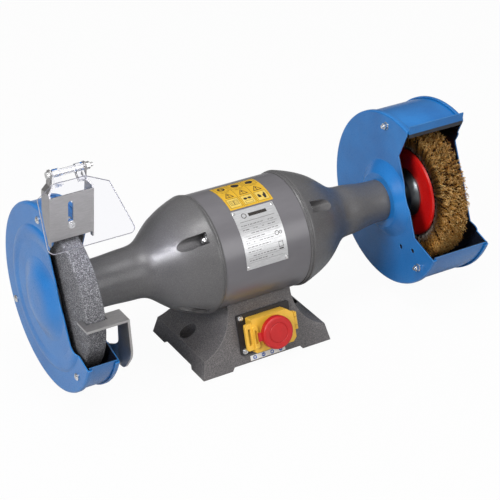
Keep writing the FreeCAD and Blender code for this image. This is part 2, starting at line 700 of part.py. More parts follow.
# ---- switch ---------------------------------------------------------------------------
PLATE_SCREWS = [(SWITCH_X - 33.2, SWITCH_S + b) for b in (-22.4, 22.4)]
INNER_SCREWS = [(SWITCH_X + 28.0, SWITCH_S + b) for b in (-14.0, 11.0)]
SWITCH_SCREWS = PLATE_SCREWS + INNER_SCREWS
FACE_ANGLE = math.degrees(math.atan2(1.0, BASE_SLOPE))


def on_face(shape):
    """From switch coordinates (x, up the sloping face, outward) to the frame."""
    shape = shape.copy()
    shape.rotate(V(0, 0, 0), V(1, 0, 0), FACE_ANGLE)
    shape.translate(V(0, BASE_FRONT, 0))
    return shape


def rounded_block(x0, x1, y0, y1, z0, z1, r):
    block = box(x0, x1, y0, y1, z0, z1)
    edges = [e for e in block.Edges if abs(e.tangentAt(e.FirstParameter).z) > 0.99]
    return block.makeFillet(r, edges)


def local_post(x, s, z0, z1, r):
    return Part.makeCylinder(r, z1 - z0, V(x, s, z0))


def switch_plate():
    x, s = SWITCH_X, SWITCH_S
    plate = rounded_block(x - 39.5, x + 39.5, s - 27.2, s + 27.2, 0.05, 2.5, 2.5)
    plate = plate.cut(box(x - 20.5, x + 20.5, s - 17.5, s + 17.5, -1, 4))
    plate = plate.cut(button_wells(-1, 4, 0.35))
    for a, b in SWITCH_SCREWS:
        plate = plate.cut(local_post(a, b, -1, 4, 2.1))
    return on_face(plate)


def switch_screws():
    screws = []
    seats = [(a, b, 2.5) for a, b in PLATE_SCREWS] + [(a, b, 6.0) for a, b in INNER_SCREWS]
    for a, b, seat in seats:
        screw = local_post(a, b, -9, seat + 0.5, 1.6).fuse(Part.makeCone(4.1, 2.8, 2.0, V(a, b, seat)))
        screw = screw.cut(box(a - 2.6, a + 2.6, b - 0.5, b + 0.5, seat + 1.1, seat + 4))
        screw = screw.cut(box(a - 0.5, a + 0.5, b - 2.6, b + 2.6, seat + 1.1, seat + 4))
        screws.append(on_face(screw))
    return Part.makeCompound(screws)


STOP_AT = (SWITCH_X + 1.5, SWITCH_S)
START_AT = (SWITCH_X - 15.0, SWITCH_S)


def switch_body():
    x, s = SWITCH_X, SWITCH_S
    body = box(x - 20, x + 20, s - 17, s + 17, -36, 2.5)
    body = body.cut(button_wells(0.3, 4, 0.35))
    for a in (-14, -5, 5, 14):
        body = body.fuse(box(x + a - 2.4, x + a + 2.4, s - 0.5, s + 0.5, -42, -36))
    return on_face(body)


def button_wells(z0, z1, gap):
    wells = local_post(STOP_AT[0], STOP_AT[1], z0, z1, 8.0 + gap)
    return wells.fuse(local_post(START_AT[0], START_AT[1], z0, z1, 6.5 + gap))


def cover_outline(inset):
    """Outline shared by the yellow frame and its flap, cut off at the right corners."""
    x0, x1 = SWITCH_X - 27 + inset, SWITCH_X + 35 - inset
    s0, s1 = SWITCH_S - 23.5 + inset, SWITCH_S + 22 - inset
    c = inset * 0.5
    low = [(x0 + 1.5, s0), (x1 - 5 + c, s0), (x1, s0 + 5 - c)]
    high = [(x1, s1 - 7 + c), (x1 - 9 + c, s1), (x0 + 1.5, s1), (x0, s1 - 1.5)]
    return low + high + [(x0, s0 + 1.5)]


def switch_housing():
    """Yellow frame round the two buttons, with the hinge lugs on its right."""
    x, s = SWITCH_X, SWITCH_S
    shell = prism_z(cover_outline(0.0), 2.55, 13.0).cut(prism_z(cover_outline(2.4), 6.0, 14))
    shell = shell.cut(button_wells(0, 8, 0.35))
    for a, b in INNER_SCREWS:
        shell = shell.cut(local_post(a, b, 0, 8, 2.1))
    lugs = []
    for b in (10.5, -6.5):
        lugs.append(box(x + 34, x + 41.5, s + b - 2.6, s + b + 2.6, 6.0, 13.0))
        lugs.append(Part.makeCylinder(3.1, 5.2, V(FLAP_HINGE_X, s + b - 2.6, FLAP_HINGE_H), V(0, 1, 0)))
    pin = Part.makeCylinder(1.3, 24.0, V(FLAP_HINGE_X, s - 9.5, FLAP_HINGE_H), V(0, 1, 0))
    return on_face(fused([shell] + lugs + [pin]))


def switch_flap():
    """Hinged cover over the buttons; it carries the stop mushroom."""
    x, s = SWITCH_X, SWITCH_S
    top = prism_z(cover_outline(0.0), 13.4, 19.0).cut(prism_z(cover_outline(2.4), 13, 16.6))
    top = top.fuse(local_post(STOP_AT[0], STOP_AT[1], 18.5, 22.0, 14.0))
    top = top.cut(local_post(STOP_AT[0], STOP_AT[1], 10, 30, 7.35))
    arm = box(x + 34, x + 36.4, s - 3.4, s + 7.4, 13.4, 18.0)
    knuckle = Part.makeCylinder(3.0, 10.8, V(FLAP_HINGE_X, s - 3.4, FLAP_HINGE_H), V(0, 1, 0))
    pin_hole = Part.makeCylinder(1.65, 40, V(FLAP_HINGE_X, s - 20, FLAP_HINGE_H), V(0, 1, 0))
    top = fused([top, arm, knuckle]).cut(pin_hole)
    grip = rounded_block(x - 37, x - 25.5, s - 18.5, s + 17, 13.4, 17.6, 2.5)
    grip = grip.cut(rounded_block(x - 33.6, x - 29.6, s - 12.0, s + 10.5, 10, 30, 1.5))
    hasp = rounded_block(x - 27.5, x - 20.5, s - 16.5, s + 13, 17.6, 21.6, 2.0)
    hasp = hasp.cut(rounded_block(x - 25.4, x - 22.6, s - 11, s + 7.5, 19.2, 30, 1.0))
    return on_face(fused([top, grip, hasp]))


def stop_mushroom():
    x, s = STOP_AT
    cap = Part.makeCylinder(22.0, 8.5, V(x, s, 27.0))
    rim = [e for e in cap.Edges if abs(e.BoundBox.ZMin - 35.5) < 1e-6 and abs(e.BoundBox.ZMax - 35.5) < 1e-6]
    cap = cap.makeFillet(3.0, rim)
    cap = cap.cut(Part.makeCylinder(18.5, 3.5, V(x, s, 26.5)))
    cap = cap.cut(Part.makeTorus(13.0, 0.8, V(x, s, 35.6)))
    stem = local_post(x, s, 12.6, 31.0, 7.0)
    tab = box(x - 26.5, x - 16, s - 5.5, s + 5.5, 27.0, 30.4)
    return on_face(fused([cap, stem, tab]))


def press_button(spot, r, top):
    x, s = spot
    button = local_post(x, s, 2.9, top, r)
    edge = [e for e in button.Edges if abs(e.BoundBox.ZMin - top) < 1e-6 and abs(e.BoundBox.ZMax - top) < 1e-6]
    return on_face(button.makeFillet(1.0, edge))


# ---- labels ---------------------------------------------------------------------------
def barrel_patch(x0, x1, low, high, r0, r1):
    """Sheet wrapped on the barrel between two angles above the horizontal front."""
    sheet = ring_x(x0, x1, r0, r1)
    corners = [(0.0, AXIS_Z)]
    for i in range(9):
        a = low + (high - low) * i / 8.0
        corners.append(polar(120, a))
    return sheet.common(prism_x(corners, x0 - 1, x1 + 1))


def plate_rivets():
    rivets = []
    for x in (-30.5, 25.0):
        for a in (5.5, 59.5):
            y, z = polar(1.0, a)
            direction = V(0, y, z - AXIS_Z)
            y, z = polar(BARREL_R - 1.5, a)
            rivet = Part.makeCylinder(1.2, 2.2, V(x, y, z), direction)
            y, z = polar(BARREL_R + 0.62, a)
            rivets.append(rivet.fuse(Part.makeCone(2.2, 1.4, 0.8, V(x, y, z), direction)))
    return Part.makeCompound(rivets)


def rating_plate():
    sheet = barrel_patch(-33, 27.5, 3, 62, BARREL_R + 0.1, BARREL_R + 0.6)
    return sheet.cut(rivet_holes())


def rivet_holes():
    holes = []
    for x in (-30.5, 25.0):
        for a in (5.5, 59.5):
            y, z = polar(1.0, a)
            direction = V(0, y, z - AXIS_Z)
            y, z = polar(BARREL_R - 3.0, a)
            holes.append(Part.makeCylinder(1.3, 8, V(x, y, z), direction))
    return fused(holes)


def barrel_with_rivet_holes():
    return motor_barrel().cut(rivet_holes())


# ---- write every node -------------------------------------------------------------------
NODES = {
    "base_casting": base_casting,
    "base_cover": base_cover,
    "base_screws": base_screws,
    "cable_gland": cable_gland,
    "capacitor": capacitor,
    "terminal_block": terminal_block,
    "motor_barrel": barrel_with_rivet_holes,
    "end_bell_right": lambda: end_bell(BRUSH_ARM),
    "end_bell_left": lambda: flipped(end_bell(WHEEL_ARM)),
    "tie_rods": tie_rods,
    "stator_core": stator_core,
    "stator_windings": stator_windings,
    "bearing_outer_rings": bearing_outer_rings,
    "wheel_guard_plate": lambda: flipped(guard_plate()),
    "wheel_guard_band": lambda: flipped(guard_band(WHEEL_COVER_X, True)),
    "wheel_guard_cover": lambda: flipped(guard_cover(WHEEL_COVER_X)),
    "wheel_guard_bolts": lambda: flipped(guard_bolts(WHEEL_COVER_X)),
    "brush_guard_plate": guard_plate,
    "brush_guard_band": lambda: guard_band(BRUSH_COVER_X),
    "brush_guard_cover": lambda: guard_cover(BRUSH_COVER_X),
    "brush_guard_bolts": lambda: guard_bolts(BRUSH_COVER_X),
    "arm_flange_screws": arm_flange_screws,
    "tool_rest_bolts": tool_rest_bolts,
    "spark_screw": spark_screw,
    "switch_plate": switch_plate,
    "switch_screws": switch_screws,
    "switch_body": switch_body,
    "switch_housing": switch_housing,
    "warning_label": lambda: barrel_patch(-31.5, 31, 64, 105, BARREL_R + 0.05, BARREL_R + 0.35),
    "rating_plate": rating_plate,
    "plate_rivets": plate_rivets,
    "base_sticker": lambda: on_face(rounded_block(-25.5, 27.0, 6.4, 13.2, 0.05, 0.35, 0.8)),
    "spindle_shaft": spindle_shaft,
    "rotor_core": rotor_core,
    "rotor_cage": rotor_cage,
    "bearing_inner_rings": bearing_inner_rings,
    "bearing_balls": bearing_balls,
    "grinding_wheel": grinding_wheel,
    "wheel_blotters": wheel_blotters,
    "wheel_flange_inner": wheel_flange_inner,
    "wheel_flange_outer": wheel_flange_outer,
    "wheel_nut": lambda: spindle_nut(WHEEL_L - BLOTTER - 16.0, WHEEL_L - BLOTTER - 6.0),
    "brush_flange_inner": brush_flange_inner,
    "brush_flange_outer": brush_flange_outer,
    "brush_disc_inner": brush_disc,
    "brush_disc_outer": lambda: brush_disc().mirror(V(BRUSH_X, 0, 0), V(1, 0, 0)),
    "brush_hub": brush_hub,
    "brush_wires": brush_wires,
    "brush_nut": lambda: spindle_nut(296.2, 306.2),
    "spark_bracket": spark_bracket,
    "hinge_rod": hinge_rod,
    "eye_shield": eye_shield,
    "shield_clips": shield_clips,
    "hinge_sleeve": hinge_sleeve,
    "tool_rest": tool_rest,
    "switch_flap": switch_flap,
    "stop_mushroom": stop_mushroom,
    "start_button": lambda: press_button(START_AT, 6.5, 9.4),
    "stop_button": lambda: press_button(STOP_AT, 8.0, 9.0),
}

for name, make in NODES.items():
    shape = make()
    print("%-22s valid %s solids %d volume %.0f" % (name, shape.isValid(), len(shape.Solids), shape.Volume))
    save(name, shape)
print("nodes", len(NODES))
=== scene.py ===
import math

import bmesh
import bpy
import numpy as np
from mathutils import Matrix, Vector


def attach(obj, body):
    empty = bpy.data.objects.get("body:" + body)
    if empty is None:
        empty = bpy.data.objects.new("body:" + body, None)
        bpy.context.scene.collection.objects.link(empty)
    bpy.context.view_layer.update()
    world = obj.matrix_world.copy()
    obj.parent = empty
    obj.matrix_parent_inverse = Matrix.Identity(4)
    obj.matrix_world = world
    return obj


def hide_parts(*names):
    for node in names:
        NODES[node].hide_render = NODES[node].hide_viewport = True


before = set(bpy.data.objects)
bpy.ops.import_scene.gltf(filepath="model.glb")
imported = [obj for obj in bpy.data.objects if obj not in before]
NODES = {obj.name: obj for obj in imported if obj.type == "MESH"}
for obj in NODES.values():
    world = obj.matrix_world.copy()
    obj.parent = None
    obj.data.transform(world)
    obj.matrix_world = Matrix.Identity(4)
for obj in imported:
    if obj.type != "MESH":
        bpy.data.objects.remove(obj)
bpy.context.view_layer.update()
MM = 0.001

# Millimetres, in the frame of the CAD bodies.
AXIS_Z = 141.5
BARREL_R = 76.0
WHEEL_X, WHEEL_HALF, WHEEL_R, WHEEL_BORE = -253.0, 12.5, 100.0, 8.1
BRUSH_X, BRUSH_R = 279.0, 97.0
FACE_Y, FACE_SLOPE = -74.8, 0.30
SHADE_AND_DUST_R = (118.6, 118.0)         # radii between which the painted shade and dust inside a guard set in
PLATE_DEPTH = (231.8, 232.3)    # the same for the guard plates, as distances from the middle


# ---- colours and material nodes --------------------------------------------------------
def linear(r, g, b):
    """Linear colour from 0-255 display values."""
    found = []
    for v in (r, g, b):
        v /= 255.0
        found.append(v / 12.92 if v <= 0.04045 else ((v + 0.055) / 1.055) ** 2.4)
    return (*found, 1.0)


def grey(v):
    return (v, v, v, 1.0)


class Finish:
    """A procedural material round one Principled shader. Sizes and depths are millimetres."""

    def __init__(self, name, colour, roughness, metallic=0.0, **sockets):
        self.material = bpy.data.materials.new(name)
        self.material.use_nodes = True
        self.tree = self.material.node_tree
        self.tree.nodes.clear()
        self.shader = self.node("BsdfPrincipled")
        self.output = self.node("OutputMaterial", {"Surface": self.shader.outputs[0]})
        self.place = self.node("TexCoord").outputs["Object"]
        self.normal = None
        values = {"Base Color": colour, "Roughness": roughness, "Metallic": metallic}
        values.update({k.replace("_", " "): v for k, v in sockets.items()})
        for socket, value in values.items():
            self.shader.inputs[socket].default_value = value
        self.material.diffuse_color = colour

    def node(self, kind, inputs=None, **settings):
        made = self.tree.nodes.new("ShaderNode" + kind)
        for key, value in settings.items():
            setattr(made, key, value)
        for key, value in (inputs or {}).items():
            if isinstance(value, bpy.types.NodeSocket):
                self.tree.links.new(value, made.inputs[key])
            else:
                made.inputs[key].default_value = value
        return made

    def stretched(self, stretch):
        """Object coordinates, with the pattern made longer along some axes."""
        if stretch is None:
            return self.place
        scale = tuple(1.0 / s for s in stretch)
        return self.node("Mapping", {"Vector": self.place, "Scale": scale}).outputs[0]

    def noise(self, size, detail=2.0, rough=0.5, stretch=None):
        inputs = {"Vector": self.stretched(stretch), "Scale": 1000.0 / size, "Detail": detail,
                  "Roughness": rough}
        return self.node("TexNoise", inputs).outputs["Fac"]

    def cells(self, size, output="Distance", feature="F1"):
        inputs = {"Vector": self.place, "Scale": 1000.0 / size}
        return self.node("TexVoronoi", inputs, feature=feature).outputs[output]

    def ramp(self, value, *stops):
        made = self.node("ValToRGB", {"Fac": value})
        ramp = made.color_ramp
        while len(ramp.elements) < len(stops):
            ramp.elements.new(0.5)
        for element, (at, colour) in zip(ramp.elements, stops):
            element.position = at
            element.color = colour
        return made.outputs["Color"]

    def blend(self, share, first, second):
        made = self.node("Mix", data_type="RGBA")
        for index, value in ((0, share), (6, first), (7, second)):
            if isinstance(value, bpy.types.NodeSocket):
                self.tree.links.new(value, made.inputs[index])
            else:
                made.inputs[index].default_value = value
        return made.outputs[2]

    def levels(self, value, low, high, new_low=0.0, new_high=1.0):
        inputs = {"Value": value, "From Min": low, "From Max": high, "To Min": new_low, "To Max": new_high}
        return self.node("MapRange", inputs).outputs[0]

    def edges(self, size, low=0.02, high=0.16):
        """1 on outer and inner edges of the shape, 0 on its faces."""
        rounded = self.node("Bevel", {"Radius": size * MM}, samples=4).outputs[0]
        true = self.node("NewGeometry").outputs["Normal"]
        dot = self.node("VectorMath", {0: rounded, 1: true}, operation="DOT_PRODUCT").outputs["Value"]
        return self.levels(dot, 1.0 - low, 1.0 - high)

    def inner(self, part):
        """1 on the faces that look into a guard, which get painted shade and dust, 0 outside: part is plate,
        band or cover.
        """
        x, y, z = self.node("SeparateXYZ", {"Vector": self.place}).outputs
        side = self.node("Math", {0: x}, operation="SIGN").outputs[0]
        z = self.node("Math", {0: z, 1: AXIS_Z * MM}, operation="SUBTRACT").outputs[0]
        flat = self.node("CombineXYZ", {"Y": y, "Z": z}).outputs[0]
        radius = self.node("VectorMath", {0: flat}, operation="LENGTH").outputs["Value"]
        within = self.levels(radius, SHADE_AND_DUST_R[0] * MM, SHADE_AND_DUST_R[1] * MM)
        if part == "band":
            return within
        if part == "plate":
            depth = self.node("Math", {0: x}, operation="ABSOLUTE").outputs[0]
            facing = self.levels(depth, PLATE_DEPTH[0] * MM, PLATE_DEPTH[1] * MM)
        else:
            normal = self.node("NewGeometry").outputs["Normal"]
            nx = self.node("SeparateXYZ", {"Vector": normal}).outputs[0]
            outward = self.node("Math", {0: nx, 1: side}, operation="MULTIPLY").outputs[0]
            facing = self.levels(outward, -0.1, -0.3)
        return self.node("Math", {0: within, 1: facing}, operation="MULTIPLY").outputs[0]

    def soften(self, size):
        """Rounds sharp edges in the shading."""
        self.normal = self.node("Bevel", {"Radius": size * MM}, samples=4).outputs[0]
        return self

    def bump(self, height, depth, strength=1.0):
        inputs = {"Height": height, "Distance": depth * MM, "Strength": strength}
        if self.normal is not None:
            inputs["Normal"] = self.normal
        self.normal = self.node("Bump", inputs).outputs[0]
        return self

    def drive(self, **sources):
        """Links outputs to the shader: colour=..., roughness=... ."""
        names = {"colour": "Base Color", "roughness": "Roughness"}
        for key, source in sources.items():
            self.tree.links.new(source, self.shader.inputs[names[key]])
        return self

    def done(self):
        if self.normal is not None:
            self.tree.links.new(self.normal, self.shader.inputs["Normal"])
        return self.material


# ---- finishes --------------------------------------------------------------------------
def hammertone():
    """Grey hammered enamel on the base casting."""
    f = Finish("hammertone", linear(96, 93, 94), 0.5, 0.1, Coat_Weight=0.3, Coat_Roughness=0.25)
    f.soften(1.1)
    fine, wide = f.noise(1.3, 3.0, 0.6), f.noise(26.0, 2.0)
    body = f.ramp(fine, (0.36, linear(74, 72, 73)), (0.52, linear(98, 95, 96)), (0.68, linear(126, 121, 121)))
    body = f.blend(f.levels(wide, 0.35, 0.7, 0.0, 0.35), body, linear(82, 80, 81))
    # The edges are blended towards light grey: partly rubbed paint, partly painted highlight.
    worn_and_lit_edge = f.edges(1.2)
    body = f.blend(f.levels(worn_and_lit_edge, 0.0, 1.0, 0.0, 0.45), body, linear(170, 166, 164))
    f.drive(colour=body, roughness=f.levels(fine, 0.3, 0.7, 0.62, 0.42))
    f.bump(f.cells(2.3, feature="SMOOTH_F1"), 0.28, 0.55)
    f.bump(fine, 0.16, 0.7)
    return f.done()


def cast_paint():
    """Grey paint over the sand-cast end bells and arms."""
    f = Finish("cast_paint", linear(92, 91, 92), 0.42, 0.1, Coat_Weight=0.3, Coat_Roughness=0.3)
    f.soften(0.8)
    fine, mid, wide = f.noise(1.1, 4.0, 0.65), f.noise(4.5, 2.0), f.noise(40.0, 2.0)
    body = f.ramp(fine, (0.34, linear(74, 73, 74)), (0.55, linear(91, 90, 91)), (0.7, linear(112, 110, 111)))
    body = f.blend(f.levels(wide, 0.35, 0.7, 0.0, 0.25), body, linear(78, 77, 78))
    f.drive(colour=body, roughness=f.levels(mid, 0.3, 0.7, 0.32, 0.48))
    f.bump(mid, 0.2, 0.5)
    f.bump(fine, 0.15, 0.6)
    return f.done()


def barrel_paint():
    """Smooth satin paint on the rolled steel barrel."""
    f = Finish("barrel_paint", linear(100, 98, 101), 0.34, 0.15, Coat_Weight=0.4, Coat_Roughness=0.24)
    wide, peel = f.noise(30.0, 3.0, stretch=(3, 1, 1)), f.noise(1.4, 2.0)
    body = f.ramp(wide, (0.3, linear(97, 95, 99)), (0.7, linear(107, 105, 109)))
    f.drive(colour=body, roughness=f.levels(wide, 0.3, 0.7, 0.3, 0.38))
    f.bump(peel, 0.02, 0.6)
    return f.done()


def enamel(name, low, base, high, edge, inside=None):
    """Gloss enamel on pressed sheet steel, with painted edge highlights, and near-black painted shade with
    some grinding dust on the inner faces of a guard.
    """
    f = Finish(name, base, 0.3, 0.0, Coat_Weight=0.35, Coat_Roughness=0.1, Specular_IOR_Level=0.4)
    f.soften(0.7)
    wide, peel, speck = f.noise(45.0, 2.0), f.noise(2.6, 2.0), f.noise(0.8, 1.0)
    body = f.ramp(wide, (0.3, low), (0.5, base), (0.72, high))
    # Painted highlight: the edges are blended towards the lighter edge colour.
    body = f.blend(f.levels(f.edges(0.9), 0.0, 1.0, 0.0, 0.55), body, edge)
    if inside:
        # Painted shade: the inner faces of a guard go near-black blue for the deep shade inside it, with some
        # grinding dust.
        shade_and_dust = f.ramp(f.noise(5.0, 4.0, 0.6), (0.35, linear(12, 16, 26)), (0.7, linear(26, 34, 50)))
        body = f.blend(f.inner(inside), body, shade_and_dust)
    f.drive(colour=body, roughness=f.levels(speck, 0.3, 0.7, 0.26, 0.36))
    f.bump(peel, 0.05, 0.5)
    return f.done()


def steel(name, colour, roughness, along=(12, 1, 1), size=0.8, depth=0.02, dark=0.78):
    """Metal with a drawn or brushed grain along one axis."""
    f = Finish(name, colour, roughness, 1.0)
    f.soften(0.35)
    grain, cloud = f.noise(size, 3.0, 0.6, along), f.noise(14.0, 3.0)
    shade = tuple(c * dark for c in colour[:3]) + (1.0,)
    body = f.blend(f.levels(grain, 0.3, 0.7), shade, colour)
    body = f.blend(f.levels(cloud, 0.4, 0.75, 0.0, 0.3), body, shade)
    f.drive(colour=body, roughness=f.levels(grain, 0.3, 0.7, roughness + 0.07, roughness - 0.07))
    f.bump(grain, depth, 0.6)
    return f.done()


def moulded(name, colour, roughness):
    """Moulded plastic with a faint spark texture."""
    f = Finish(name, colour, roughness)
    f.soften(0.45)
    grain, cloud = f.noise(0.5, 2.0), f.noise(12.0, 2.0)
    shade = tuple(c * 0.9 for c in colour[:3]) + (1.0,)
    body = f.blend(f.levels(cloud, 0.35, 0.7), colour, shade)
    # Painted highlight: a lighter copy of the colour is laid on the edges.
    edge_highlight = tuple(min(1.0, c * 1.15 + 0.03) for c in colour[:3]) + (1.0,)
    body = f.blend(f.levels(f.edges(0.5), 0.0, 1.0, 0.0, 0.4), body, edge_highlight)
    f.drive(colour=body, roughness=f.levels(grain, 0.3, 0.7, roughness - 0.05, roughness + 0.07))
    f.bump(grain, 0.015, 0.5)
    return f.done()


def printed(name, colour, roughness=0.45):
    """Ink or sticker film."""
    f = Finish(name, colour, roughness)
    cloud = f.noise(6.0, 3.0)
    shade = tuple(c * 0.88 for c in colour[:3]) + (1.0,)
    f.drive(colour=f.blend(f.levels(cloud, 0.35, 0.7), colour, shade),
            roughness=f.levels(f.noise(0.6), 0.3, 0.7, roughness - 0.05, roughness + 0.05))
    f.bump(cloud, 0.02, 0.4)
    return f.done()


def abrasive():
    """Grey aluminium oxide grit in a vitrified bond."""
    f = Finish("abrasive", linear(100, 100, 104), 0.85)
    grit = f.cells(0.9, "Color")
    spread = f.node("SeparateColor", {"Color": grit}).outputs[0]
    fine = f.noise(0.7, 3.0, 0.7)
    body = f.ramp(spread, (0.0, linear(58, 58, 62)), (0.45, linear(90, 90, 94)), (0.8, linear(124, 124, 128)),
                  (0.97, linear(160, 160, 164)))
    body = f.blend(f.levels(fine, 0.4, 0.65, 0.0, 0.5), body, linear(76, 76, 80))
    f.drive(colour=body, roughness=f.levels(spread, 0.0, 1.0, 0.95, 0.6))
    f.bump(f.cells(1.1), 0.2, 0.6)
    f.bump(fine, 0.1, 0.6)
    return f.done()


def wire_brass():
    """Brass wire; its per-point attribute runs from dull steel grey at 0 to bright gold at 1: the grey is a
    painted sheen and the dark brown near 0.2 is painted shade.
    """
    f = Finish("wire_brass", linear(196, 150, 80), 0.28, 0.9)
    tone_shade_sheen = f.node("Attribute", attribute_name="tone_shade_sheen").outputs["Fac"]
    body = f.ramp(tone_shade_sheen, (0.0, linear(196, 192, 186)), (0.2, linear(120, 84, 40)), (0.5, linear(206, 150, 74)),
                  (1.0, linear(255, 226, 160)))
    f.drive(colour=body, roughness=f.levels(f.noise(1.5), 0.3, 0.7, 0.28, 0.42))
    f.bump(f.noise(0.4), 0.02, 0.5)
    return f.done()


def wire_pack_shade():
    """The dark packed inside of the brush, coloured near-black as painted shade."""
    f = Finish("wire_pack_shade", linear(70, 50, 26), 0.6, 0.7)
    hair = f.noise(0.9, 3.0, 0.7, (1, 3, 3))
    f.drive(colour=f.ramp(hair, (0.35, linear(14, 10, 6)), (0.7, linear(70, 48, 22))))
    f.bump(hair, 0.6, 0.9)
    return f.done()


def rating_metal():
    f = Finish("rating_metal", linear(205, 205, 206), 0.38, 0.85)
    grain = f.noise(0.5, 3.0, 0.6, (16, 1, 1))
    f.drive(colour=f.ramp(grain, (0.3, linear(190, 190, 192)), (0.7, linear(222, 222, 223))),
            roughness=f.levels(grain, 0.3, 0.7, 0.42, 0.32))
    f.bump(grain, 0.01, 0.5)
    return f.done()


def clear_sheet():
    """Clear polycarbonate. Lamps shine through it, so that it throws no dark shadow."""
    f = Finish("clear_sheet", linear(252, 252, 255), 0.02, 0.0, Transmission_Weight=1.0, IOR=1.3)
    scuff = f.noise(3.0, 4.0, 0.7, (1, 4, 4))
    f.drive(roughness=f.levels(scuff, 0.45, 0.8, 0.0, 0.05))
    through = f.node("BsdfTransparent", {"Color": linear(238, 238, 246)})
    lamp = f.node("LightPath").outputs["Is Shadow Ray"]
    mixed = f.node("MixShader", {0: lamp, 1: f.shader.outputs[0], 2: through.outputs[0]})
    f.tree.links.new(mixed.outputs[0], f.output.inputs["Surface"])
    return f.done()


def frosted_edge(name, colour, clear):
    """Sawn edge of the clear sheet, more cloudy than its faces; with a darker colour it paints a shade line
    along a chamfer.
    """
    f = Finish(name, colour, 0.35, 0.0, Transmission_Weight=clear, IOR=1.45)
    saw = f.noise(0.8, 2.0, 0.5, (1, 6, 6))
    f.drive(roughness=f.levels(saw, 0.3, 0.7, 0.25, 0.5))
    f.bump(saw, 0.03, 0.5)
    return f.done()


# The last colour of BLUES and of REDS is a painted highlight for the edges.
BLUES = (linear(16, 98, 166), linear(20, 105, 174), linear(25, 112, 182), linear(110, 172, 222))
BLUE_PLATE = enamel("enamel_plate", *BLUES, inside="plate")
BLUE_BAND = enamel("enamel_band", *BLUES, inside="band")
BLUE_COVER = enamel("enamel_cover", *BLUES, inside="cover")
CAST = cast_paint()
ZINC = steel("zinc_plate", linear(240, 240, 240), 0.26, (1, 1, 1), 1.5, 0.02)
GROUND = steel("ground_steel", linear(200, 200, 202), 0.18, (10, 1, 1), 0.5, 0.005)
DARK = steel("blackened_steel", linear(150, 156, 160), 0.34, (1, 1, 1), 1.4, 0.03)
SHEET = steel("brushed_sheet", linear(188, 186, 186), 0.4, (14, 1, 1), 0.7, 0.02, 0.8)
REDS = (linear(186, 16, 14), linear(202, 20, 17), linear(212, 26, 20), linear(240, 110, 90))
RED_ENAMEL = enamel("disc_enamel", *REDS)
BLACK = moulded("black_moulding", linear(34, 32, 34), 0.45)
YELLOW = moulded("yellow_moulding", linear(226, 178, 62), 0.36)
RED = moulded("red_moulding", linear(180, 20, 22), 0.4)
GREEN = moulded("green_moulding", linear(30, 150, 70), 0.4)
WHITE = moulded("white_moulding", linear(225, 225, 220), 0.4)
COPPER = steel("copper", linear(196, 110, 70), 0.3, (8, 1, 1), 1.0, 0.06)
LAMINATION = steel("lamination", linear(120, 118, 120), 0.4, (1, 40, 40), 0.5, 0.05)
ALUMINIUM = steel("aluminium", linear(190, 190, 192), 0.45, (1, 1, 1), 1.2, 0.06)
# Painted shade: the blotters are coloured dark grey so they read as the shade in the guard mouth.
SHADED_PAPER = printed("blotter_paper", linear(52, 50, 50), 0.9)
LABEL_YELLOW = printed("label_film", linear(206, 162, 34), 0.38)
LABEL_WHITE = printed("sticker_film", linear(240, 240, 240), 0.4)
INK_BLACK = printed("ink_black", linear(34, 28, 24), 0.5)
INK_GREY = printed("ink_grey", linear(92, 90, 90), 0.5)
INK_BLUE = printed("ink_blue", linear(38, 92, 178), 0.45)
CLEAR = clear_sheet()

FINISHES = {
    hammertone(): ["base_casting"],
    CAST: ["end_bell_left", "end_bell_right"],
    barrel_paint(): ["motor_barrel"],
    BLUE_PLATE: ["wheel_guard_plate", "brush_guard_plate"],
    BLUE_BAND: ["wheel_guard_band", "brush_guard_band"],
    BLUE_COVER: ["wheel_guard_cover", "brush_guard_cover"],
    ZINC: ["base_screws", "wheel_guard_bolts", "brush_guard_bolts", "arm_flange_screws", "tool_rest_bolts",
           "spark_screw", "switch_screws", "plate_rivets", "wheel_nut", "brush_nut", "hinge_rod", "tie_rods"],
    GROUND: ["bearing_outer_rings", "bearing_inner_rings", "bearing_balls", "spindle_shaft"],
    DARK: ["wheel_flange_inner", "wheel_flange_outer", "brush_flange_inner", "brush_flange_outer",
           "brush_hub"],
    SHEET: ["base_cover", "spark_bracket", "tool_rest"],
    RED_ENAMEL: ["brush_disc_inner", "brush_disc_outer"],
    BLACK: ["cable_gland", "switch_plate", "switch_body"],
    YELLOW: ["switch_housing", "switch_flap"],
    RED: ["stop_mushroom", "stop_button"],
    GREEN: ["start_button"],
    WHITE: ["terminal_block"],
    COPPER: ["stator_windings"],
    LAMINATION: ["stator_core", "rotor_core"],
    ALUMINIUM: ["capacitor", "rotor_cage"],
    SHADED_PAPER: ["wheel_blotters"],
    rating_metal(): ["rating_plate"],
    LABEL_YELLOW: ["warning_label"],
    LABEL_WHITE: ["base_sticker"],
    CLEAR: ["eye_shield", "shield_clips", "hinge_sleeve"],
    abrasive(): ["grinding_wheel"],
    wire_brass(): ["brush_wires"],
}
FINISH_OF = {node: finish for finish, names in FINISHES.items() for node in names}
for name, cad_object in NODES.items():
    cad_object.data.materials.clear()
    cad_object.data.materials.append(FINISH_OF[name])


# ---- mesh helpers ------------------------------------------------------------------------
def mesh_object(name, points, faces, smooth):
    """Object from (n, 3) millimetre points and an (m, k) array of faces."""
    mesh = bpy.data.meshes.new(name)
    points = np.asarray(points, np.float32) * MM
    faces = np.asarray(faces, np.int32)
    mesh.vertices.add(len(points))
    mesh.vertices.foreach_set("co", points.ravel())
    mesh.loops.add(faces.size)
    mesh.loops.foreach_set("vertex_index", faces.ravel())
    mesh.polygons.add(len(faces))
    mesh.polygons.foreach_set("loop_start", np.arange(len(faces), dtype=np.int32) * faces.shape[1])
    mesh.polygons.foreach_set("use_smooth", np.full(len(faces), smooth))
    mesh.update(calc_edges=True)
    mesh.validate()
    made = bpy.data.objects.new(name, mesh)
    bpy.context.scene.collection.objects.link(made)
    return made


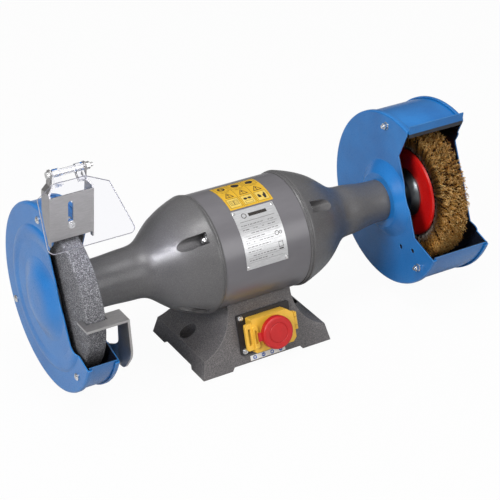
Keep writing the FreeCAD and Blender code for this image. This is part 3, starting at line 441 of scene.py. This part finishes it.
def dress(made, body, finish, slot, *stands_for):
    made.data.materials.append(finish)
    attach(made, body)
    if stands_for:
        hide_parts(*stands_for)
    return made


def turned_grid(profile, steps):
    """Points and quads of a closed (x, r) profile turned about the spindle axis."""
    profile = np.asarray(profile)
    rows = len(profile)
    angle = np.arange(steps) * 2 * math.pi / steps
    x = np.repeat(profile[None, :, 0], steps, 0)
    r = np.repeat(profile[None, :, 1], steps, 0)
    a = np.repeat(angle[:, None], rows, 1)
    i, j = np.meshgrid(np.arange(steps), np.arange(rows), indexing="ij")
    i2, j2 = (i + 1) % steps, (j + 1) % rows
    quads = np.stack([i * rows + j, i * rows + j2, i2 * rows + j2, i2 * rows + j], -1).reshape(-1, 4)
    return x, r, a, quads


def on_axis(x, r, a):
    return np.stack([x, -r * np.cos(a), AXIS_Z + r * np.sin(a)], -1).reshape(-1, 3)


def spaced(points, step):
    """A closed profile with its runs divided to about the step."""
    found = []
    for (x0, r0), (x1, r1) in zip(points, points[1:] + points[:1]):
        n = max(1, round(math.hypot(x1 - x0, r1 - r0) / step))
        found += [(x0 + (x1 - x0) * k / n, r0 + (r1 - r0) * k / n) for k in range(n)]
    return found


# ---- grinding wheel with a gritty surface ---------------------------------------------------
def gritty_wheel():
    rng = np.random.default_rng(11)
    left, right = WHEEL_X - WHEEL_HALF, WHEEL_X + WHEEL_HALF
    grit_from, rim, edge = 37.0, 99.9, 1.4
    outline = [(left, grit_from), (left, 98.6), (left + edge, rim), (right - edge, rim), (right, 98.6),
               (right, grit_from)]
    face = spaced(outline, 1.25)
    profile = [p for p in face if not (p[1] < 37.2 and left + 0.1 < p[0] < right - 0.1)]
    profile += [(right, 22.0), (right, WHEEL_BORE), (left, WHEEL_BORE), (left, 22.0)]
    x, r, a, quads = turned_grid(profile, 520)
    rough = np.where(r > 38.0, rng.random(r.shape) ** 1.6, 0.0)
    sideways = np.clip((np.abs(x - WHEEL_X) - WHEEL_HALF + 1.5) / 1.5, 0, 1)
    x = x - np.sign(x - WHEEL_X) * rough * 0.12 * sideways
    r = r - rough * 0.13 * (r > 97.0)
    made = mesh_object("wheel_grit", on_axis(x, r, a), quads, False)
    return dress(made, "rotor", FINISH_OF["grinding_wheel"], "abrasive", "grinding_wheel")


# ---- eye shield: clear sheet with chamfered, cloudy edges and painted shade on the chamfers -----
HINGE_X, HINGE_Y, HINGE_Z = -252.5, -40.0, 328.0
SHIELD_TILT, SHIELD_DROP = math.radians(225.0), 2.8


def inset(points, depth):
    """A convex outline moved inward."""
    found = []
    for i, (x, y) in enumerate(points):
        (xa, ya), (xb, yb) = points[i - 1], points[(i + 1) % len(points)]
        a = Vector((x - xa, y - ya)).normalized()
        b = Vector((xb - x, yb - y)).normalized()
        na, nb = Vector((-a.y, a.x)), Vector((-b.y, b.x))
        shift = (na + nb) * (depth / (1.0 + na.dot(nb)))
        found.append((x + shift.x, y + shift.y))
    return found


def rounded_corner(before, corner, after, radius, steps=8):
    """Points on the arc that rounds a corner."""
    here = Vector(corner)
    back, on = (Vector(before) - here).normalized(), (Vector(after) - here).normalized()
    half = back.angle(on) / 2.0
    centre = here + (back + on).normalized() * (radius / math.sin(half))
    first = here + back * (radius / math.tan(half)) - centre
    last = here + on * (radius / math.tan(half)) - centre
    return [tuple(centre + first.slerp(last, k / steps) * radius) for k in range(steps + 1)]


def shield_sheet():
    right = [(20.5, 10.8), (46.0, 23.8)]
    right += rounded_corner((46.0, 23.8), (56.2, 91.1), (-56.2, 91.1), 7.5)
    outline = right + [(-x, s) for x, s in reversed(right)]
    bevel, half = 0.45, 1.5
    small = inset(outline, bevel)
    loops = [(small, half), (outline, half - bevel), (outline, bevel - half), (small, -half)]
    cos, sin = math.cos(SHIELD_TILT), math.sin(SHIELD_TILT)
    bm = bmesh.new()
    rows = []
    for points, t in loops:
        t += SHIELD_DROP
        placed = [(HINGE_X + x, HINGE_Y + s * cos - t * sin, HINGE_Z + s * sin + t * cos) for x, s in points]
        rows.append([bm.verts.new(Vector(point) * MM) for point in placed])
    bm.faces.new(rows[0])
    bm.faces.new(rows[3])
    for level, kind in ((0, 1), (1, 2), (2, 1)):
        for i in range(len(outline)):
            j = (i + 1) % len(outline)
            face = bm.faces.new([rows[level][i], rows[level][j], rows[level + 1][j], rows[level + 1][i]])
            face.material_index = kind
    bmesh.ops.recalc_face_normals(bm, faces=bm.faces)
    mesh = bpy.data.meshes.new("shield_sheet")
    bm.to_mesh(mesh)
    bm.free()
    made = bpy.data.objects.new("shield_sheet", mesh)
    bpy.context.scene.collection.objects.link(made)
    dress(made, "shield", CLEAR, "clear_plastic", "eye_shield")
    # Painted shade: the chamfers get a mid grey that draws the dark lines along the sheet's edges.
    mesh.materials.append(frosted_edge("shield_arris_shade", linear(118, 118, 130), 0.15))
    mesh.materials.append(frosted_edge("shield_edge", linear(214, 214, 224), 0.7))


# ---- crimped wires of the brush --------------------------------------------------------------
WIRE_ROOT_R, WIRE_STEPS = 57.0, 22
REACH = WIRE_ROOT_R + (BRUSH_R - WIRE_ROOT_R) * (1 - (1 - np.arange(WIRE_STEPS) / (WIRE_STEPS - 1.0)) ** 1.15)
# Half width of the wire pack at each radius: close to the CAD solid's, without its rounded rim.
ENVELOPE_R = [57.0, 60.4, 62.2, 64.5, 76.0, 90.0, 94.0, 97.0]
ENVELOPE_X = [10.0, 10.0, 10.0, 12.2, 17.2, 20.4, 20.6, 19.6]
WIRE_R = 0.37
CRIMP, CRIMP_WAVE = 1.7, 5.6
WIRES_PER_BUNDLE = 1300
WIRE_HALF_WIDTH = 20.7


def wire_bundle(name, seed):
    rng = np.random.default_rng(seed)
    n, k = WIRES_PER_BUNDLE, len(REACH)
    across = rng.uniform(-1, 1, (n, 1))
    length = 1.0 - 0.045 * rng.random((n, 1)) - 0.06 * np.abs(across) ** 6 * rng.random((n, 1))
    r = WIRE_ROOT_R + (REACH[None] - WIRE_ROOT_R) * length
    t = (REACH[None] - WIRE_ROOT_R) / (BRUSH_R - WIRE_ROOT_R)
    x = across * np.interp(r, ENVELOPE_R, ENVELOPE_X)
    x = x + rng.normal(0, 1.6, (n, 1)) * t ** 2
    turn = rng.uniform(0, 2 * math.pi, (n, 1)) + rng.normal(0, 0.022, (n, 1)) * t ** 2
    wave = np.sin(2 * math.pi * r / CRIMP_WAVE + rng.uniform(0, 6.3, (n, 1))) * CRIMP * np.clip(t * 3, 0, 1)
    plane = rng.uniform(0, math.pi, (n, 1))
    x = np.clip(x + wave * np.cos(plane), -WIRE_HALF_WIDTH, WIRE_HALF_WIDTH)
    turn = turn + wave * np.sin(plane) / r
    centre = on_axis(BRUSH_X + x, np.minimum(r, BRUSH_R - 0.3), turn).reshape(n, k, 1, 3)
    side = np.stack([np.zeros_like(turn), np.sin(turn), np.cos(turn)], -1)[:, :, None, :]
    axial = np.array([1.0, 0.0, 0.0])
    points = []
    for corner in (90, 210, 330):
        c, s = math.cos(math.radians(corner)), math.sin(math.radians(corner))
        points.append(centre + WIRE_R * (c * side + s * axial))
    points = np.concatenate(points, 2).reshape(-1, 3)
    wire, step, corner = np.meshgrid(np.arange(n), np.arange(k - 1), np.arange(3), indexing="ij")
    low = wire * k * 3 + step * 3
    nxt = (corner + 1) % 3
    quads = np.stack([low + corner, low + nxt, low + 3 + nxt, low + 3 + corner], -1).reshape(-1, 4)
    made = mesh_object(name, points, quads, True)
    bm = bmesh.new()
    bm.from_mesh(made.data)
    bmesh.ops.holes_fill(bm, edges=[e for e in bm.edges if len(e.link_faces) == 1], sides=3)
    bmesh.ops.recalc_face_normals(bm, faces=bm.faces)
    bm.to_mesh(made.data)
    bm.free()
    # Random tone per wire, painted darker towards the roots as painted shade, and set to 0 at the sides of
    # the pack near the discs, where the grey is a painted sheen.
    bright = rng.beta(2.2, 2.0, (n, 1)) * 0.75 + 0.25
    rim = np.clip((np.abs(across) - 0.72) / 0.28, 0, 1) * np.clip((76.0 - r) / 12.0, 0, 1)
    tone_shade_sheen = bright * (0.45 + 0.55 * np.clip((r - 80) / 14, 0, 1)) * (1 - rim)
    tone_shade_sheen = np.repeat(tone_shade_sheen[:, :, None], 3, 2).ravel().astype(np.float32)
    made.data.attributes.new("tone_shade_sheen", "FLOAT", "POINT").data.foreach_set("value", tone_shade_sheen)
    return dress(made, "rotor", FINISH_OF["brush_wires"], "brass_wire", "brush_wires")


def brush_shade_core():
    """Painted shade: a dark core body under the loose wire ends, standing for the shade deep in the wire
    pack.
    """
    rng = np.random.default_rng(5)
    half = [(9.6, 56.0), (9.8, 63.0), (14.5, 76.0), (17.2, 85.0), (15.0, 90.0)]
    outline = [(BRUSH_X - x, r) for x, r in half] + [(BRUSH_X + x, r) for x, r in reversed(half)]
    x, r, a, quads = turned_grid(spaced(outline, 1.6), 360)
    out = np.where(r > 60.0, rng.random(r.shape), 0.0)
    r = r - 2.6 * out * (r > 84.0)
    x = x - np.sign(x - BRUSH_X) * 1.1 * out
    made = mesh_object("brush_core", on_axis(x, r, a), quads, False)
    return dress(made, "rotor", wire_pack_shade(), "brass_wire", "brush_wires")


# ---- printed marks -------------------------------------------------------------------------
def wrapped(x, s, h):
    """Barrel coordinates: x, arc length up from the horizontal front, height over the barrel."""
    a = s / BARREL_R
    r = BARREL_R + h
    return x, -r * math.cos(a), AXIS_Z + r * math.sin(a)


LEAN = math.atan2(1.0, FACE_SLOPE)


def on_front(x, s, h):
    """Coordinates on the sloping front of the base: x, distance up the face, height over it."""
    return x, FACE_Y + s * math.cos(LEAN) - h * math.sin(LEAN), s * math.sin(LEAN) + h * math.cos(LEAN)


class Print:
    """Thin closed marks drawn flat in (x, s), then laid on a surface."""

    def __init__(self):
        self.bm = bmesh.new()

    def shape(self, points):
        self.bm.faces.new([self.bm.verts.new((x, s, 0)) for x, s in points])

    def outline(self, outer, inner):
        a = [self.bm.verts.new((x, s, 0)) for x, s in outer]
        b = [self.bm.verts.new((x, s, 0)) for x, s in inner]
        for i in range(len(a)):
            j = (i + 1) % len(a)
            self.bm.faces.new([a[i], a[j], b[j], b[i]])

    def bar(self, x, s, w, h):
        dx, ds = w / 2, h / 2
        self.shape([(x - dx, s - ds), (x + dx, s - ds), (x + dx, s + ds), (x - dx, s + ds)])

    def frame(self, x, s, w, h, t):
        def ring(dx, ds):
            return [(x - dx, s - ds), (x + dx, s - ds), (x + dx, s + ds), (x - dx, s + ds)]
        self.outline(ring(w / 2, h / 2), ring(w / 2 - t, h / 2 - t))

    def disc(self, x, s, r, sides=20, squash=1.0):
        turn = [2 * math.pi * i / sides for i in range(sides)]
        self.shape([(x + r * math.cos(a), s + squash * r * math.sin(a)) for a in turn])

    def ring(self, x, s, r, t, sides=24):
        turn = [2 * math.pi * i / sides for i in range(sides)]
        self.outline([(x + r * math.cos(a), s + r * math.sin(a)) for a in turn],
                     [(x + (r - t) * math.cos(a), s + (r - t) * math.sin(a)) for a in turn])

    def warning(self, x, s, size):
        """Triangle with an exclamation mark."""
        def corners(k):
            foot = s - size * 0.62 * k
            return [(x - size * k, foot), (x + size * k, foot), (x, s + size * 1.12 * k)]
        self.outline(corners(1.0), corners(0.74))
        self.shape([(x - 0.16 * size, s + 0.5 * size), (x - 0.07 * size, s - 0.12 * size),
                    (x + 0.07 * size, s - 0.12 * size), (x + 0.16 * size, s + 0.5 * size)])
        self.disc(x, s - 0.3 * size, 0.1 * size, 8)

    def lay(self, name, place, height, finish, slot, thick=0.05):
        bm = self.bm
        low = min(v.co.y for v in bm.verts)
        high = max(v.co.y for v in bm.verts)
        strip = 2.5
        cut = low + strip
        while cut < high:
            geometry = bm.verts[:] + bm.edges[:] + bm.faces[:]
            bmesh.ops.bisect_plane(bm, geom=geometry, dist=1e-5, plane_co=(0, cut, 0), plane_no=(0, 1, 0))
            cut += strip
        for f in bm.faces:
            if f.normal.z < 0:
                f.normal_flip()
        raised = bmesh.ops.extrude_face_region(bm, geom=bm.faces[:])["geom"]
        up = {v for v in raised if isinstance(v, bmesh.types.BMVert)}
        for v in bm.verts:
            v.co = Vector(place(v.co.x, v.co.y, height + (thick if v in up else 0.0))) * MM
        bmesh.ops.recalc_face_normals(bm, faces=bm.faces)
        mesh = bpy.data.meshes.new(name)
        bm.to_mesh(mesh)
        bm.free()
        made = bpy.data.objects.new(name, mesh)
        bpy.context.scene.collection.objects.link(made)
        return dress(made, "grinder", finish, slot)


def warning_marks():
    """Nine generic safety pictograms on the yellow label."""
    low = math.radians(64) * BARREL_R
    p, pale = Print(), Print()
    for column, x in enumerate((-20.6, -0.2, 20.2)):
        p.frame(x, low + 10.6, 16.4, 15.6, 0.35)
        pale.bar(x, low + 10.6, 15.4, 14.6)
        p.warning(x, low + 25.2, 6.2)
        p.frame(x, low + 44.6, 16.4, 15.4, 0.35)
        p.bar(x, low + 34.2, 11.0, 0.5)
        if column == 0:      # open manual, toothed wheel
            p.frame(x - 3.1, low + 10.8, 6.0, 8.0, 0.5)
            p.frame(x + 3.1, low + 10.8, 6.0, 8.0, 0.5)
            for k in range(3):
                p.bar(x - 3.1, low + 12.8 - 2.0 * k, 3.6, 0.45)
                p.bar(x + 3.1, low + 12.8 - 2.0 * k, 3.6, 0.45)
            p.ring(x, low + 44.6, 5.2, 2.4, 12)
            p.bar(x, low + 44.6, 9.0, 1.0)
        elif column == 1:    # safety glasses, face mask
            p.disc(x - 3.0, low + 12.4, 2.6, 16, 0.75)
            p.disc(x + 3.0, low + 12.4, 2.6, 16, 0.75)
            p.bar(x, low + 12.9, 4.0, 0.7)
            p.frame(x, low + 6.6, 11.0, 4.0, 0.4)
            p.disc(x, low + 44.8, 5.4, 22, 0.9)
        else:                # gloves, pair of boots
            p.shape([(x - 5.8, low + 8.2), (x - 1.6, low + 8.2), (x - 1.6, low + 11.2), (x - 3.4, low + 13.6),
                     (x - 5.8, low + 13.6)])
            p.shape([(x + 1.4, low + 5.4), (x + 4.2, low + 5.4), (x + 5.6, low + 12.0), (x + 4.4, low + 16.6),
                     (x + 2.6, low + 12.4), (x + 0.6, low + 11.0)])
            p.shape([(x - 5.6, low + 41.6), (x + 1.0, low + 39.4), (x + 5.6, low + 43.6),
                     (x + 4.0, low + 47.4), (x - 0.6, low + 48.8), (x - 4.6, low + 46.6)])
    for x in (-10.4, 10.0):
        p.bar(x, low + 27.3, 0.35, 52.0)
    film = printed("label_pale", linear(212, 182, 84), 0.4)
    pale.lay("label_panels", wrapped, 0.36, film, "label_yellow", 0.03)
    p.lay("label_pictograms", wrapped, 0.41, INK_BLACK, "label_yellow", 0.04)


def rating_marks():
    """Filler in place of print: a ring and bar, ruled rows of dashes, rings and a frame, no lettering."""
    rng = np.random.default_rng(3)
    low = math.radians(3) * BARREL_R
    bold, thin = Print(), Print()
    bold.bar(1.0, low + 69.0, 26.0, 4.4)
    bold.ring(-18.6, low + 69.0, 3.6, 0.9)
    thin.bar(-2.7, low + 61.4, 50.0, 0.5)
    for row in range(9):
        s = low + 56.4 - 5.6 * row
        x = -28.0
        while x < (20.0 if row < 3 else 8.0):
            w = float(rng.uniform(1.6, 5.6))
            if rng.random() < 0.72:
                thin.bar(x + w / 2, s, w, 0.85)
            x += w + 1.3
        thin.bar(-2.7, s - 2.6, 52.0, 0.22)
    bold.ring(16.6, low + 37.0, 3.0, 0.8)
    bold.ring(22.0, low + 37.0, 2.2, 0.7)
    bold.frame(19.0, low + 22.0, 6.4, 7.0, 0.6)
    bold.bar(19.0, low + 16.6, 6.4, 1.6)
    thin.lay("plate_rows", wrapped, 0.61, INK_GREY, "rating_silver", 0.03)
    bold.lay("plate_marks", wrapped, 0.61, INK_BLACK, "rating_silver", 0.04)


def sticker_marks():
    """Four round blue mandatory signs on the white sticker."""
    blue, white = Print(), Print()
    for k, x in enumerate((-18.9, -5.9, 7.1, 20.1)):
        blue.disc(x, 9.8, 2.75, 28)
        if k == 0:
            white.disc(x, 10.2, 1.2, 14)
            white.bar(x, 8.4, 1.6, 0.7)
        elif k == 1:
            white.disc(x - 0.95, 9.9, 0.75, 12)
            white.disc(x + 0.95, 9.9, 0.75, 12)
            white.bar(x, 10.0, 1.0, 0.35)
        elif k == 2:
            white.shape([(x - 1.3, 8.6), (x + 1.1, 8.6), (x + 1.3, 10.2), (x + 0.2, 11.4), (x - 1.1, 10.6)])
        else:
            white.bar(x, 9.8, 2.2, 0.7)
            white.disc(x, 10.9, 0.7, 10)
    blue.lay("sticker_discs", on_front, 0.36, INK_BLUE, "label_white", 0.03)
    white.lay("sticker_signs", on_front, 0.40, LABEL_WHITE, "label_white", 0.02)


gritty_wheel()
shield_sheet()
brush_shade_core()
for bundle, seed in enumerate((21, 22, 23, 24)):
    wire_bundle("wires_%d" % bundle, seed)
warning_marks()
rating_marks()
sticker_marks()


# ---- studio ----------------------------------------------------------------------------------
def studio():
    scene = bpy.context.scene
    scene.view_settings.view_transform = "Standard"
    world = bpy.data.worlds.new("studio")
    scene.world = world
    world.use_nodes = True
    nodes, links = world.node_tree.nodes, world.node_tree.links
    room, white = nodes["Background"], nodes.new("ShaderNodeBackground")
    place = nodes.new("ShaderNodeTexCoord")
    split = nodes.new("ShaderNodeSeparateXYZ")
    ramp = nodes.new("ShaderNodeValToRGB").color_ramp
    links.new(place.outputs["Generated"], split.inputs[0])
    links.new(split.outputs["Z"], nodes["Color Ramp"].inputs[0])
    links.new(nodes["Color Ramp"].outputs[0], room.inputs["Color"])
    ramp.elements[0].position, ramp.elements[0].color = 0.05, grey(0.14)
    ramp.elements[1].position, ramp.elements[1].color = 0.95, grey(0.85)
    ramp.elements.new(0.45).color = grey(0.42)
    room.inputs["Strength"].default_value = 0.75
    white.inputs["Color"].default_value = grey(1.0)
    path, mixed = nodes.new("ShaderNodeLightPath"), nodes.new("ShaderNodeMixShader")
    direct = nodes.new("ShaderNodeMath")
    direct.operation = "MAXIMUM"
    links.new(path.outputs["Is Camera Ray"], direct.inputs[0])
    links.new(path.outputs["Is Transmission Ray"], direct.inputs[1])
    links.new(direct.outputs[0], mixed.inputs[0])
    links.new(room.outputs[0], mixed.inputs[1])
    links.new(white.outputs[0], mixed.inputs[2])
    links.new(mixed.outputs[0], nodes["World Output"].inputs["Surface"])

    def lamp(name, at, target, size, power):
        data = bpy.data.lights.new(name, "AREA")
        data.shape, data.size, data.energy = "DISK", size, power
        made = bpy.data.objects.new(name, data)
        made.location = at
        made.rotation_euler = (Vector(target) - Vector(at)).to_track_quat("-Z", "Y").to_euler()
        scene.collection.objects.link(made)

    middle = (0, 0, 0.15)
    lamp("key", (-2.1, -0.95, 1.75), middle, 1.0, 58)
    lamp("top", (-0.25, -0.55, 2.4), middle, 1.1, 26)
    lamp("fill", (0.9, -2.3, 1.1), middle, 1.6, 16)

    floor_mesh = bpy.data.meshes.new("floor")
    half = 30.0
    corners = [(-half, -half, 0), (half, -half, 0), (half, half, 0), (-half, half, 0)]
    floor_mesh.from_pydata(corners, [], [(0, 1, 2, 3)])
    floor = bpy.data.objects.new("floor", floor_mesh)
    floor.location.z = -0.0002
    scene.collection.objects.link(floor)
    pale = Finish("floor_pale", grey(0.5), 0.9, 0.0, Specular_IOR_Level=0.1)
    glow = pale.node("Emission", {"Color": grey(1.0), "Strength": 1.0})
    rays = pale.node("LightPath").outputs
    through = {0: rays["Is Camera Ray"], 1: rays["Is Transmission Ray"]}
    seen = pale.node("Math", through, operation="MAXIMUM").outputs[0]
    share = pale.node("Math", {0: seen, 1: 0.96}, operation="MULTIPLY").outputs[0]
    mixed = pale.node("MixShader", {0: share, 1: pale.shader.outputs[0], 2: glow.outputs[0]})
    pale.tree.links.new(mixed.outputs[0], pale.output.inputs["Surface"])
    floor_mesh.materials.append(pale.done())

    camera_data = bpy.data.cameras.new("camera")
    camera_data.sensor_width = 36.0
    camera_data.lens = 118.6
    camera_data.clip_end = 100.0
    camera = bpy.data.objects.new("camera", camera_data)
    camera.location = (-0.939, -1.5955, 1.1923)
    aim = Vector((0.01675, 0.0, 0.12324)) - camera.location
    camera.rotation_euler = aim.to_track_quat("-Z", "Y").to_euler()
    scene.collection.objects.link(camera)
    scene.camera = camera


studio()
